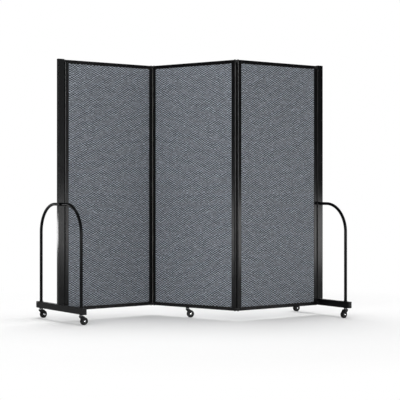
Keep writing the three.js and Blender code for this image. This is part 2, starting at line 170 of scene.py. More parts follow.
# ---------------------------------------------------------------- node shorthand
class Nodes:
    """Shorthand for one node tree."""

    def __init__(self, tree):
        self.tree = tree

    def put(self, socket, value):
        """Links an output to a socket, or writes a plain value in it."""
        if isinstance(value, bpy.types.NodeSocket):
            self.tree.links.new(value, socket)
        else:
            socket.default_value = value

    def add(self, kind, inputs=(), **settings):
        """A new node with its settings, and its inputs by name or number."""
        node = self.tree.nodes.new(kind)
        for key, value in settings.items():
            setattr(node, key, value)
        for key, value in dict(inputs).items():
            self.put(node.inputs[key], value)
        return node

    def math(self, operation, *values):
        return self.add("ShaderNodeMath", enumerate(values), operation=operation).outputs[0]

    def scaled(self, vector, scale):
        return self.add("ShaderNodeMapping", {"Vector": vector, "Scale": scale}).outputs[0]

    def noise(self, vector, scale=1, detail=2, roughness=0.5):
        inputs = {"Vector": vector, "Scale": scale, "Detail": detail, "Roughness": roughness}
        return self.add("ShaderNodeTexNoise", inputs).outputs["Fac"]

    def spread(self, value, span, onto, curve="LINEAR"):
        """The value with one pair of limits laid onto another, and kept between them."""
        inputs = {"Value": value, "From Min": span[0], "From Max": span[1]}
        inputs |= {"To Min": onto[0], "To Max": onto[1]}
        return self.add("ShaderNodeMapRange", inputs, interpolation_type=curve).outputs[0]

    def from_noise(self, value, onto):
        """The same for a noise, which lies between 0.3 and 0.7 nearly everywhere."""
        return self.spread(value, (0.3, 0.7), onto)

    def mix(self, factor, a, b, blend="MIX"):
        inputs = {"Factor": factor, "A": a, "B": b}
        node = self.add("ShaderNodeMix", inputs, data_type="RGBA", blend_type=blend)
        return node.outputs["Result"]

    def blend(self, factor, a, b):
        inputs = {"Factor": factor, "A": a, "B": b}
        return self.add("ShaderNodeMix", inputs, data_type="FLOAT").outputs[0]

    def grey(self, value):
        return self.add("ShaderNodeCombineColor", enumerate([value] * 3)).outputs[0]

    def bump(self, height, strength, distance, below=None):
        inputs = {"Strength": strength, "Distance": distance, "Height": height}
        if below is not None:
            inputs["Normal"] = below
        return self.add("ShaderNodeBump", inputs).outputs[0]

    def light_path(self, kind):
        return self.add("ShaderNodeLightPath").outputs[f"Is {kind} Ray"]

    def by_ray(self, seen, unseen):
        """One value for camera, glossy and transmission rays, and another for the rest."""
        either = self.math("MAXIMUM", self.light_path("Camera"), self.light_path("Glossy"))
        every = self.math("MAXIMUM", either, self.light_path("Transmission"))
        return self.spread(every, (0, 1), (unseen, seen))


class Material(Nodes):
    """A new material and its nodes."""

    def __init__(self, name):
        self.material = bpy.data.materials.new(name)
        self.material.use_nodes = True
        super().__init__(self.material.node_tree)
        self.shader = self.tree.nodes["Principled BSDF"]
        self.object = self.add("ShaderNodeTexCoord").outputs["Object"]

    def wear_and_sheen_mask(self):
        """1 on the rounded edges, and 0 elsewhere."""
        return self.add("ShaderNodeAttribute", attribute_name="wear_and_sheen").outputs["Fac"]

    def surface(self, **values):
        for key, value in values.items():
            self.put(self.shader.inputs[key.replace("_", " ")], value)
        return self.material


# ---------------------------------------------------------------- materials
# How a base colour is lightened: a factor and a lift.
CLOUDY = (1.35, 0)
# The next line lightens black metal's rounded edges: partly scuffs, partly a painted edge sheen.
SCUFF_AND_EDGE_SHEEN = (2.6, 0.006)
DUSTY = (1.5, 0.004)
RUBBED = (2.2, 0.008)
SCUFF_POLISH = 0.06  # how much smoother a scuffed edge is


def lighter(base, way):
    factor, lift = way
    return (*(c * factor + lift for c in base), 1)


def black_metal(name, stretch, base, roughness, level):
    """Satin black coated metal. stretch holds the scale of its fine drawn lines along each axis."""
    n = Material(name)
    cloudy = n.noise(n.object, scale=9, detail=3)
    orange_peel = n.noise(n.object, scale=900)
    lines = n.noise(n.scaled(n.object, stretch))
    scratches = n.spread(n.noise(n.object, scale=60, detail=4), (0.45, 0.75), (0.1, 0.9))
    # Rounded edges lightened under the scratch noise: scuffs and a painted edge sheen.
    scuff_and_sheen = n.math("MULTIPLY", n.wear_and_sheen_mask(), scratches)
    tone = n.mix(n.from_noise(cloudy, (0, 1)), (*base, 1), lighter(base, CLOUDY))
    tone = n.mix(scuff_and_sheen, tone, lighter(base, SCUFF_AND_EDGE_SHEEN))
    gloss = n.from_noise(cloudy, (roughness - 0.03, roughness + 0.04))
    gloss = n.math("ADD", gloss, n.from_noise(lines, (-0.02, 0.02)))
    gloss = n.math("SUBTRACT", gloss, n.math("MULTIPLY", scuff_and_sheen, SCUFF_POLISH))
    relief = n.bump(orange_peel, strength=0.12, distance=0.1 * MM)
    relief = n.bump(lines, strength=0.06, distance=0.1 * MM, below=relief)
    return n.surface(Base_Color=tone, Roughness=gloss, Normal=relief, Specular_IOR_Level=level)


# The cloth is a basket weave: a chequer of groups of yarns that run up or across.
CELL_WIDTH = 11.2 * MM  # one group of yarns
CELL_HEIGHT = 6.5 * MM
UP_YARNS = 5  # yarns side by side in a group that runs up
ACROSS_YARNS = 3
YARN = (0.1735, 0.192, 0.217, 1)  # mean colour of all yarns
CONTRAST = 0.95  # how far the groups that run across are lighter than the mean, the others darker
SWAY = 0.50  # how far a group strays from its row and column, in groups
SWAY_SIDEWAYS = 14  # scale of that drift along the panel
SWAY_UP = (12, -16)  # and up it, for the columns and for the rows
YARN_ROUND = 0.45  # share of a yarn's own roundness in the relief. The rest is its group's rise
CELL_FLECK = 0.42  # how far one group differs in tone from the next of its kind
YARN_FLECK = 0.12  # and one yarn from the next
CLOUD_FLECK = 0.01  # and one part of the panel from another
# Painted shade in the weave's hollows and a painted highlight on its crests, as tone factors.
HOLLOW_SHADE, CREST_HIGHLIGHT = 0.84, 1.10  # of the relief's lowest and highest places


def woven():
    """Panel cloth. Groups of light yarns run across, groups of dark ones up."""
    n = Material("woven_cloth")
    x, _, z = n.add("ShaderNodeSeparateXYZ", {0: n.object}).outputs
    u = n.math("ADD", n.math("MULTIPLY", x, 1 / CELL_WIDTH), sway(n, SWAY_UP[0]))
    v = n.math("ADD", n.math("MULTIPLY", z, 1 / CELL_HEIGHT), sway(n, SWAY_UP[1]))
    yarn_u, yarn_v = n.math("MULTIPLY", u, UP_YARNS), n.math("MULTIPLY", v, ACROSS_YARNS)
    cell_u, cell_v = n.math("FLOOR", u), n.math("FLOOR", v)
    upright = n.math("PINGPONG", n.math("ADD", cell_u, cell_v), 1.0)
    height = n.blend(upright, yarn_height(n, yarn_v, u), yarn_height(n, yarn_u, v))
    yarn_tone = n.blend(
        upright,
        random_number(n, cell_u, n.math("FLOOR", yarn_v)),
        random_number(n, n.math("FLOOR", yarn_u), cell_v),
    )
    # A group's random tone less that of the group above it, so that no patch is light or dark.
    above = random_number(n, cell_u, n.math("ADD", cell_v, 1.0))
    cell_tone = n.math("SUBTRACT", random_number(n, cell_u, cell_v), above)
    cell_tone = n.math("MULTIPLY", n.math("ADD", cell_tone, 1.0), 0.5)
    chequer = n.math("MULTIPLY", soft_square(n, u), soft_square(n, v))
    level = n.math("ADD", n.math("MULTIPLY", chequer, CONTRAST), 1.0)
    for shade in (
        n.spread(cell_tone, (0, 1), (1 - CELL_FLECK, 1 + CELL_FLECK)),
        n.spread(yarn_tone, (0, 1), (1 - YARN_FLECK, 1 + YARN_FLECK)),
        n.from_noise(n.noise(n.object, scale=5), (1 - CLOUD_FLECK, 1 + CLOUD_FLECK)),
        # Painted shade in the relief's hollows, painted highlight on its crests.
        n.spread(height, (0, 1), (HOLLOW_SHADE, CREST_HIGHLIGHT)),
    ):
        level = n.math("MULTIPLY", level, shade)
    relief = n.bump(n.noise(n.object, scale=2600), strength=0.2, distance=0.05 * MM)
    relief = n.bump(height, strength=0.3, distance=0.6 * MM, below=relief)
    return n.surface(
        Base_Color=n.mix(1.0, YARN, n.grey(level), blend="MULTIPLY"),
        Roughness=n.spread(height, (0, 1), (0.98, 0.86)),
        Normal=relief,
        Specular_IOR_Level=0.25,
        Sheen_Weight=0.12,
        Sheen_Roughness=0.5,
    )


def sway(n, scale_up):
    """A slow drift of the groups from their rows and columns."""
    stretched = n.scaled(n.object, (SWAY_SIDEWAYS, SWAY_SIDEWAYS, scale_up))
    return n.from_noise(n.noise(stretched, detail=3, roughness=0.6), (-SWAY, SWAY))


def yarn_height(n, across, along):
    """Height of a round yarn that rises towards the middle of its group."""
    own = n.math("MULTIPLY", arch(n, across), YARN_ROUND)
    return n.math("ADD", own, n.math("MULTIPLY", arch(n, along), 1 - YARN_ROUND))


def soft_square(n, value, steepness=1.6):
    """Swings between 1 and -1 from each whole number to the next, with soft turns."""
    swing = n.math("MULTIPLY", n.math("SINE", n.math("MULTIPLY", value, math.pi)), steepness)
    return n.math("MAXIMUM", n.math("MINIMUM", swing, 1.0), -1.0)


def arch(n, value):
    """Rises from 0 to 1 and falls back between each whole number and the next."""
    return n.math("SINE", n.math("MULTIPLY", n.math("FRACT", value), math.pi))


def random_number(n, a, b):
    """A random number for each whole pair of a and b."""
    pair = n.add("ShaderNodeCombineXYZ", {"X": a, "Y": b}).outputs[0]
    node = n.add("ShaderNodeTexWhiteNoise", {"Vector": pair}, noise_dimensions="3D")
    return node.outputs["Value"]


def fibreboard():
    n = Material("fibreboard")
    fibres = n.noise(n.scaled(n.object, (300, 300, 90)), detail=4, roughness=0.6)
    tone = n.mix(n.from_noise(fibres, (0, 1)), (0.30, 0.21, 0.12, 1), (0.42, 0.31, 0.19, 1))
    relief = n.bump(fibres, strength=0.3, distance=0.3 * MM)
    return n.surface(Base_Color=tone, Roughness=0.9, Normal=relief)


def moulded(name, base, roughness, level):
    """Moulded plastic or rubber with a fine grain. It also colours the pale strip of painted light
    in the left fold.
    """
    n = Material(name)
    grain = n.noise(n.object, scale=1800, detail=3)
    dust = n.noise(n.object, scale=45, detail=4)
    rubbed = n.math("MULTIPLY", n.wear_and_sheen_mask(), n.spread(dust, (0.4, 0.7), (0.1, 0.8)))
    tone = n.mix(n.spread(dust, (0.45, 0.75), (0, 0.5)), (*base, 1), lighter(base, DUSTY))
    tone = n.mix(rubbed, tone, lighter(base, RUBBED))
    gloss = n.from_noise(grain, (roughness - 0.06, roughness + 0.06))
    relief = n.bump(grain, strength=0.18, distance=0.2 * MM)
    return n.surface(Base_Color=tone, Roughness=gloss, Normal=relief, Specular_IOR_Level=level)


def bright_steel():
    n = Material("bright_steel")
    turned = n.noise(n.scaled(n.object, (500, 5000, 500)))
    tone = n.mix(n.from_noise(turned, (0, 1)), (0.66, 0.67, 0.69, 1), (0.82, 0.83, 0.85, 1))
    gloss = n.from_noise(turned, (0.16, 0.28))
    relief = n.bump(turned, strength=0.05, distance=0.1 * MM)
    return n.surface(Base_Color=tone, Roughness=gloss, Metallic=1.0, Normal=relief)


INK = (0.0036, 0.0038, 0.0042)
# Name, scale of the drawn lines, colour, roughness and strength of the reflections.
UPRIGHT_METAL = black_metal("frame_metal_upright", (1400, 1400, 6), INK, 0.18, 0.15)
LEVEL_METAL = black_metal("frame_metal_level", (6, 1400, 1400), INK, 0.25, 0.15)
FOOT_METAL = black_metal("foot_metal", (1400, 6, 1400), INK, 0.26, 0.045)
TUBE_METAL = black_metal("tube_metal", (500, 500, 500), INK, 0.18, 0.05)
HINGE_METAL = black_metal("hinge_metal", (900, 900, 30), INK, 0.33, 0.15)
# Name, colour, roughness and strength of the reflections.
CAP_PLASTIC = moulded("cap_plastic", (0.0050, 0.0052, 0.0056), 0.42, 0.15)
FORK_PLASTIC = moulded("fork_plastic", (0.0045, 0.0047, 0.0051), 0.36, 0.15)
WHEEL_CENTRE = moulded("wheel_centre_plastic", (0.011, 0.0115, 0.012), 0.36, 0.25)
TYRE = moulded("tyre_rubber", (0.0040, 0.0040, 0.0042), 0.58, 0.10)
# Pale colour of the strip in the left fold: painted light, the line of light seen through that gap.
PAINTED_FOLD_LIGHT = moulded("fold_light_strip", (0.66, 0.65, 0.62), 0.90, 0.10)
# Black rubber of the grommets. The same black is painted shade on the strips in the hinge and post
# gaps.
RUBBER_AND_GAP_SHADE = moulded("grommet_rubber_and_gap_shade", (0.0080, 0.0080, 0.0082), 0.6, 0.2)
CLOTH_FACE = woven()
BOARD = fibreboard()
STEEL = bright_steel()


# ---------------------------------------------------------------- mesh helpers
def with_wear_and_sheen(bm):
    """Gives a mesh the layer that marks the faces for edge wear and painted edge sheen."""
    if "wear_and_sheen" not in bm.faces.layers.float:
        bm.faces.layers.float.new("wear_and_sheen")
    return bm


def whole_faces(bm):
    """Welds a mesh and makes each of its flat faces one face."""
    bmesh.ops.remove_doubles(bm, verts=bm.verts, dist=WELD)
    bmesh.ops.dissolve_limit(bm, angle_limit=FLAT, verts=bm.verts, edges=bm.edges)
    return with_wear_and_sheen(bm)


def clean_copy(node, place):
    """A CAD node's mesh in its own place's frame."""
    bm = bmesh.new()
    bm.from_mesh(frame["nodes"][node].data)
    bm.transform(place.inverted())
    return whole_faces(bm)


def soften(bm, width, segments=2, where=lambda edge: True):
    """Rounds the sharp edges and marks the new faces for edge wear and, on black metal, for a
    painted edge sheen.
    """
    edges = [
        e for e in bm.edges
        if len(e.link_faces) == 2 and e.calc_face_angle(0) > SHARP and where(e)
    ]
    made = bmesh.ops.bevel(
        bm, geom=edges, offset=width, offset_type="OFFSET", segments=segments,
        profile=0.5, affect="EDGES", clamp_overlap=True,
    )
    layer = bm.faces.layers.float["wear_and_sheen"]
    for face in made["faces"]:
        face[layer] = 1.0
    return bm


def lathe(bm, profile, segments, closed=False, place=Matrix.Identity(4)):
    """Turns a profile of (radius, height) about Z. A radius of zero makes a pole."""
    turns = [2 * math.pi * i / segments for i in range(segments)]
    rings = []
    for r, z in profile:
        spots = [(r * math.cos(t), r * math.sin(t), z) for t in turns] if r else [(0, 0, z)]
        rings.append([bm.verts.new(place @ Vector(spot)) for spot in spots])
    pairs = list(zip(rings, rings[1:])) + ([(rings[-1], rings[0])] if closed else [])
    faces = []
    for low, high in pairs:
        for i in range(segments):
            j = (i + 1) % segments
            under, over = (i % len(low), j % len(low)), (j % len(high), i % len(high))
            corners = [low[k] for k in under] + [high[k] for k in over]
            faces.append(bm.faces.new(dict.fromkeys(corners)))
    return faces


def loft(bm, loops):
    """Joins closed loops with the same number of points, and closes both ends."""
    rings = [[bm.verts.new(p) for p in loop] for loop in loops]
    count = len(rings[0])
    for low, high in zip(rings, rings[1:]):
        for i in range(count):
            j = (i + 1) % count
            bm.faces.new((low[i], low[j], high[j], high[i]))
    bm.faces.new(reversed(rings[0]))
    bm.faces.new(rings[-1])


def round_corners(points, radius, steps=5):
    """A closed outline with its corners turned into arcs of one radius, or of one each."""
    radii = radius if isinstance(radius, list) else [radius] * len(points)
    outline = []
    for i, corner in enumerate(points):
        here = Vector(corner)
        if radii[i] <= 0:
            outline.append(tuple(here))
            continue
        back = (Vector(points[i - 1]) - here).normalized()
        ahead = (Vector(points[(i + 1) % len(points)]) - here).normalized()
        half = back.angle(ahead) / 2
        reach = radii[i] / math.tan(half)
        centre = here + (back + ahead).normalized() * (radii[i] / math.sin(half))
        start, end = here + back * reach - centre, here + ahead * reach - centre
        sweep = start.angle(end)
        for k in range(steps + 1):
            t = k / steps
            from_start = math.sin((1 - t) * sweep) / math.sin(sweep)
            from_end = math.sin(t * sweep) / math.sin(sweep)
            outline.append(tuple(centre + start * from_start + end * from_end))
    return outline


def rounded_box(half_x, half_y, radius, steps=5):
    corners = [(-half_x, -half_y), (half_x, -half_y), (half_x, half_y), (-half_x, half_y)]
    return round_corners(corners, radius, steps)


def outward_faces(bm):
    bmesh.ops.recalc_face_normals(bm, faces=bm.faces)


# ---------------------------------------------------------------- pieces
def piece(name, bm, place, materials, body, slot, nodes=(), angle=40, weighted=True):
    """Makes the object, dresses it, and lets it ride on its body in place of the CAD nodes."""
    mesh = bpy.data.meshes.new(name)
    bm.to_mesh(mesh)
    bm.free()
    mesh.shade_smooth()
    mesh.set_sharp_from_angle(angle=math.radians(angle))
    for material in materials:
        mesh.materials.append(material)
    obj = bpy.data.objects.new(name, mesh)
    bpy.context.scene.collection.objects.link(obj)
    obj.matrix_world = place
    if weighted:
        modifier = obj.modifiers.new("even_normals", "WEIGHTED_NORMAL")
        modifier.keep_sharp = True
    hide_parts(*nodes)
    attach(obj, body)
    return obj


def body_of(node):
    return frame["nodes"][node]["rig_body"]


def look(node, bm, place, materials, slot, **shading):
    """A piece that takes the place of one CAD node."""
    piece(f"{node}_look", bm, place, materials, body_of(node), slot, [node], **shading)


def dressed(node, place, material, slot, width):
    """A CAD node's own form with softened edges."""
    look(node, soften(clean_copy(node, place), width), place, [material], slot)


def extra(name, bm, place, material, body, slot):
    """A small piece that isn't in the CAD model."""
    outward_faces(bm)
    piece(name, bm, place, [material], body, slot, angle=50, weighted=False)


def strip(name, outline, low, place, material, body):
    """A thin upright strip of one outline, from a height up to the links at the top."""
    high = PANEL_TOP - LINK - STRIP_END
    heights = [low + (high - low) * k / STRIP_STEPS for k in range(STRIP_STEPS + 1)]
    bm = with_wear_and_sheen(bmesh.new())
    loft(bm, [[(x, y, z) for x, y in outline] for z in heights])
    extra(name, bm, place, material, body, "cap")


# ---------------------------------------------------------------- panels
BORDER = (0, 0.25 * MM, 0.9 * MM, 1.9 * MM, TUCK)  # rows of points beside each border of a cloth
COLUMNS, ROWS = 22, 52  # spaces between points inside the borders
PULL_WAVES = (9, 7)  # per metre, along and up
FIRST_SEED, PANEL_STEP, FACE_STEP = 3.1, 5.3, 0.37  # so that each face is uneven in its own way


def stations(length, inside):
    """Places of the points from one border of the cloth to the other."""
    gap = (length - 2 * TUCK) / inside
    middle = [TUCK + gap * i for i in range(1, inside)]
    return [*BORDER, *middle, *(length - d for d in reversed(BORDER))]


def border_rise(distance):
    """From 0 at a cloth's border to 1 at the end of its rounded tuck."""
    if distance >= TUCK:
        return 1.0
    return math.sqrt(max(0.0, 1 - (1 - distance / TUCK) ** 2))


def cloth(node, place, side, seed):
    """A woven face stretched over its backing: rounded, tucked borders and a slight crown."""
    half_x = HALF_OPENING - SEAT
    low = FLOOR_GAP + RAIL + SEAT
    high = PANEL_TOP - RAIL - SEAT
    inner = HALF_CORE + SEAT
    width, height = 2 * half_x, high - low
    columns = stations(width, COLUMNS)
    bm = with_wear_and_sheen(bmesh.new())
    rows = []
    for dz in stations(height, ROWS):
        row = []
        for dx in columns:
            rise = border_rise(min(dx, width - dx)) * border_rise(min(dz, height - dz))
            crown = CROWN * (1 - (2 * dx / width - 1) ** 2) * (1 - (2 * dz / height - 1) ** 4)
            spot = Vector((dx * PULL_WAVES[0], dz * PULL_WAVES[1], seed))
            depth = inner + CLOTH * rise + crown * rise + PULL * noise.noise(spot) * rise
            row.append(bm.verts.new((side * (dx - half_x), side * depth, low + dz)))
        rows.append(row)
    for lower, upper in zip(rows, rows[1:]):
        for i in range(len(columns) - 1):
            bm.faces.new((lower[i], lower[i + 1], upper[i + 1], upper[i]))
    right, left = [row[-1] for row in rows[1:-1]], [row[0] for row in rows[-2:0:-1]]
    bm.faces.new(reversed(rows[0] + right + rows[-1][::-1] + left))
    outward_faces(bm)
    obj = piece(
        f"{node}_cloth", bm, place, [CLOTH_FACE], body_of(node), "fabric", [node],
        angle=60, weighted=False,
    )


def make_panel(name, place, seed):
    ends = ("left", "right") if name == "middle_panel" else ("inner", "outer")
    for end in ends:
        dressed(f"{name}_stile_{end}", place, UPRIGHT_METAL, "frame", FRAME_EDGE)
    for rail in ("rail_top", "rail_bottom"):
        dressed(f"{name}_{rail}", place, LEVEL_METAL, "frame", FRAME_EDGE)
    board = frame["nodes"][f"{name}_core_board"]
    board.data.materials.clear()
    board.data.materials.append(BOARD)
    # The left panel's frame is turned half round, so its local +Y face is the front one.
    faces = {1: "rear", -1: "front"} if name != "left_panel" else {1: "front", -1: "rear"}
    for side, word in faces.items():
        cloth(f"{name}_fabric_{word}", place, side, seed + side * FACE_STEP)


for number, (panel, spot) in enumerate(PANELS.items()):
    make_panel(panel, spot, FIRST_SEED + PANEL_STEP * number)


# ---------------------------------------------------------------- hinges
PIN_DOME = 1.1 * MM
DOME_TURNS = (0, 0.5, 0.9, 1.25, QUARTER)  # from the pole of a pin's domed end to its rim


def make_pin(node, place, bottom, top):
    """A pin with domed ends."""
    dome = [(PIN_RADIUS * math.sin(t), 1 - math.cos(t)) for t in DOME_TURNS]
    low = [(r, bottom + PIN_DOME * rise) for r, rise in dome]
    high = [(r, top - PIN_DOME * rise) for r, rise in reversed(dome)]
    bm = with_wear_and_sheen(bmesh.new())
    lathe(bm, low + high, segments=28)
    outward_faces(bm)
    look(node, bm, place, [HINGE_METAL], "hinge")


def gap_shade_strip(side):
    """A thin black strip between the two stiles: painted shade in the gap. It closes the gap to the
    eye.
    """
    half, reach = (size / 2 for size in GAP_SHADE_STRIP_SIZES[side])
    outline = [(PIN_SPACING / 2 + x, y) for x, y in rounded_box(half, reach, half * 0.6, 3)]
    low = FLOOR_GAP + LINK + STRIP_END
    strip(f"{side}_hinge_gap_shade_strip", outline, low, hinge_place(side), RUBBER_AND_GAP_SHADE, f"{side}_hinge")


def fold_light_strip():
    """A pale strip on the middle panel's left edge: painted light, the line of light in the left
    fold's gap.
    """
    start, sweep, steps = 4, 35, 8  # degrees about the pin
    arc = [math.radians(start + sweep * k / steps) for k in range(steps + 1)]
    proud, sunk = HALF_FRAME + 0.02 * MM, HALF_FRAME - 0.2 * MM
    outline = [
        (radius * math.cos(t), radius * math.sin(t))
        for radius, angles in ((proud, arc), (sunk, arc[::-1])) for t in angles
    ]
    low = FLOOR_GAP + LINK + STRIP_END
    strip("middle_panel_fold_light_strip", outline, low, hinge_place("left"), PAINTED_FOLD_LIGHT, "middle_panel")


fold_light_strip()
for side in SIDES:
    place = hinge_place(side)
    gap_shade_strip(side)
    for end in ("top", "bottom"):
        dressed(f"{side}_hinge_link_{end}", place, HINGE_METAL, "hinge", LINK_EDGE)
    for word, x in (("middle", 0), ("outer", PIN_SPACING)):
        spot = place @ Matrix.Translation((x, 0, 0))
        node = f"{side}_hinge_pin_{word}"
        make_pin(node, spot, FLOOR_GAP - PIN_STAND, PANEL_TOP + PIN_STAND)


# ---------------------------------------------------------------- end frames
def hoop_line():
    """Points and directions of the hoop's centreline, from the -Y leg over to the +Y leg."""
    leg_steps, bend_steps = 8, 32
    crown = CASTER_OFFSET - HOOP_BEND
    foot = FOOT_TOP + SEAT
    spring = HOOP_TOP - HOOP_BEND
    rising = [
        ((-CASTER_OFFSET, foot + (spring - foot) * i / leg_steps), (0, 1))
        for i in range(leg_steps)
    ]
    for i in range(bend_steps + 1):
        t = QUARTER * i / bend_steps
        spot = (-crown - HOOP_BEND * math.cos(t), spring + HOOP_BEND * math.sin(t))
        rising.append((spot, (math.sin(t), math.cos(t))))
    across = [((crown * k, HOOP_TOP), (1, 0)) for k in (-0.5, 0, 0.5)]
    falling = [((-y, z), (dy, -dz)) for (y, z), (dy, dz) in reversed(rising)]
    return rising + across + falling


def make_hoop(side):
    """The bent tube, with a collar at the foot of each leg."""
    bm = with_wear_and_sheen(bmesh.new())
    tube_sides = 24
    loops = []
    for (y, z), (dy, dz) in hoop_line():
        loop = []
        for t in (2 * math.pi * k / tube_sides for k in range(tube_sides)):
            out, wide = HOOP_RADIUS * math.cos(t), HOOP_RADIUS * math.sin(t)
            loop.append((wide, y - dz * out, z + dy * out))
        loops.append(loop)
    loft(bm, loops)
    inside = HOOP_RADIUS - 0.5 * MM
    base = FOOT_TOP + SEAT
    top = base + COLLAR_HEIGHT
    collar = [
        (inside, base),
        (COLLAR_RADIUS, base),
        (COLLAR_RADIUS, top - 1.4 * MM),
        (COLLAR_RADIUS - 0.5 * MM, top - 0.5 * MM),
        (COLLAR_RADIUS - 1.4 * MM, top),
        (inside, top),
    ]
    for y in (-CASTER_OFFSET, CASTER_OFFSET):
        lathe(bm, collar, segments=36, closed=True, place=Matrix.Translation((0, y, 0)))
    outward_faces(bm)
    look(f"{side}_hoop", bm, FEET[side], [TUBE_METAL], "tube", angle=35, weighted=False)


def make_foot_bar(side):
    """The bar with its long outer edges well rounded and its short ones softened."""
    node = f"{side}_foot_bar"
    bm = clean_copy(node, FEET[side])
    long = 50 * MM

    def long_outer(edge):
        middle = (edge.verts[0].co + edge.verts[1].co) / 2
        at_side = abs(abs(middle.x) - FOOT_WIDTH / 2) < CLOSE
        at_top = min(abs(middle.z - FLOOR_GAP), abs(middle.z - FOOT_TOP)) < CLOSE
        return at_side and at_top and edge.calc_length() > long

    soften(bm, 2 * MM, segments=4, where=long_outer)
    soften(bm, FINE_EDGE, where=lambda edge: edge.calc_length() < long)
    look(node, bm, FEET[side], [FOOT_METAL], "tube")


# Outlines along a foot cap, from the plug's end to the crowned face: how far inside the bar's
# sides, how far from the face, and the radius of the corners.
FOOT_CAP_STEPS = [
    (FOOT_WALL + SEAT, -CAP_THICKNESS - CAP_PLUG, 0.8 * MM),
    (FOOT_WALL + SEAT, -CAP_THICKNESS, 0.8 * MM),
    (0.25 * MM, -CAP_THICKNESS, 2 * MM),
    (0, -CAP_THICKNESS + 0.3 * MM, 2 * MM),
    (0, -1.3 * MM, 2 * MM),
    (0.3 * MM, -0.6 * MM, 2 * MM),
    (1.0 * MM, -0.2 * MM, 2 * MM),
    (2.6 * MM, -0.05 * MM, 2 * MM),
    (6 * MM, 0, 2 * MM),
]


def make_foot_cap(side, word, turn):
    """The plug in the bar's end: a softly crowned flange with rounded corners."""
    middle = (FLOOR_GAP + FOOT_TOP) / 2
    half_x, half_z = FOOT_WIDTH / 2, (FOOT_TOP - FLOOR_GAP) / 2
    loops = []
    for inset, y, radius in FOOT_CAP_STEPS:
        outline = rounded_box(half_x - inset, half_z - inset, radius)
        loops.append([(x, FOOT_HALF + y, middle + z) for x, z in outline])
    bm = with_wear_and_sheen(bmesh.new())
    loft(bm, loops)
    outward_faces(bm)
    place = FEET[side] @ Matrix.Rotation(turn, 4, "Z")
    look(f"{side}_foot_cap_{word}", bm, place, [CAP_PLASTIC], "cap", angle=35)


def weld_bead(side, word, out):
    """A weld along the post's foot, with the ripples of its passes."""
    steps, length, size, ripple, ripple_turn = 44, 21 * MM, 2.3 * MM, 0.10, 1.9
    back, under = -0.3 * MM, -0.25 * MM  # how far the bead runs into the post and into the bar
    loops = []
    for i in range(steps + 1):
        x = (i / steps - 0.5) * length
        # The bead grows from a quarter of its size at each end.
        fade = min(1.0, 4 * min(i, steps - i) / steps + 0.25)
        leg = size * fade * (1 + ripple * math.sin(i * ripple_turn))
        hollow = [(leg * (1 - math.sin(t)), leg * (1 - math.cos(t))) for t in (0.4, 0.8, 1.2)]
        profile = [(back, under), (leg, under), *hollow, (0, leg), (back, leg)]
        loops.append([(x, out * (HALF_FRAME + dy), FOOT_TOP + dz) for dy, dz in profile])
    bm = with_wear_and_sheen(bmesh.new())
    loft(bm, loops)
    name, body = f"{side}_post_weld_{word}", f"{side}_end_frame"
    extra(name, bm, FEET[side], FOOT_METAL, body, "tube")


def grommet(side, word, out):
    """A thin rubber ring where the hoop enters the post."""
    inner, outer, stand = HOOP_RADIUS + 0.05 * MM, HOOP_RADIUS + 2.6 * MM, 1.1 * MM
    sunk = -0.2 * MM
    profile = [
        (inner, sunk),
        (outer, sunk),
        (outer, stand * 0.5),
        (outer - 0.5 * MM, stand * 0.9),
        (outer - 1.0 * MM, stand),
        (inner + 0.5 * MM, stand),
        (inner, stand * 0.7),
    ]
    turn = Matrix.Rotation(-out * QUARTER, 4, "X")
    spot = Matrix.Translation((0, out * HALF_FRAME, HOOP_TOP)) @ turn
    bm = with_wear_and_sheen(bmesh.new())
    lathe(bm, profile, segments=40, closed=True, place=spot)
    name, body = f"{side}_hoop_grommet_{word}", f"{side}_end_frame"
    extra(name, bm, FEET[side], RUBBER_AND_GAP_SHADE, body, "cap")


def end_gap_shade_strip(side):
    """A black strip on the post, just clear of the round edge of the panel that turns there:
    painted shade in the gap between them.
    """
    near, far, half = 8.75 * MM, 10.3 * MM, END_GAP_SHADE_STRIP_HALVES[side]  # out from the pin
    corners = [(near, -half), (far, -half), (far, half), (near, half)]
    outline = round_corners(corners, 0.3 * MM, 3)
    name, body = f"{side}_end_gap_shade_strip", f"{side}_end_frame"
    strip(name, outline, FOOT_TOP + STRIP_END, END_PINS[side], RUBBER_AND_GAP_SHADE, body)


for side, words in FOOT_ENDS.items():
    end_gap_shade_strip(side)
    dressed(f"{side}_end_post", END_PINS[side], UPRIGHT_METAL, "frame", FRAME_EDGE)
    dressed(f"{side}_end_post_cap", END_PINS[side], CAP_PLASTIC, "cap", POST_CAP_EDGE)
    pin = f"{side}_end_hinge_pin"
    make_pin(pin, END_PINS[side], FOOT_TOP - LINK, PANEL_TOP + END_PIN_STAND)
    make_hoop(side)
    make_foot_bar(side)
    for word, out in zip(words, (1, -1)):
        make_foot_cap(side, word, 0 if out > 0 else math.pi)
        weld_bead(side, word, out)
        grommet(side, word, out)


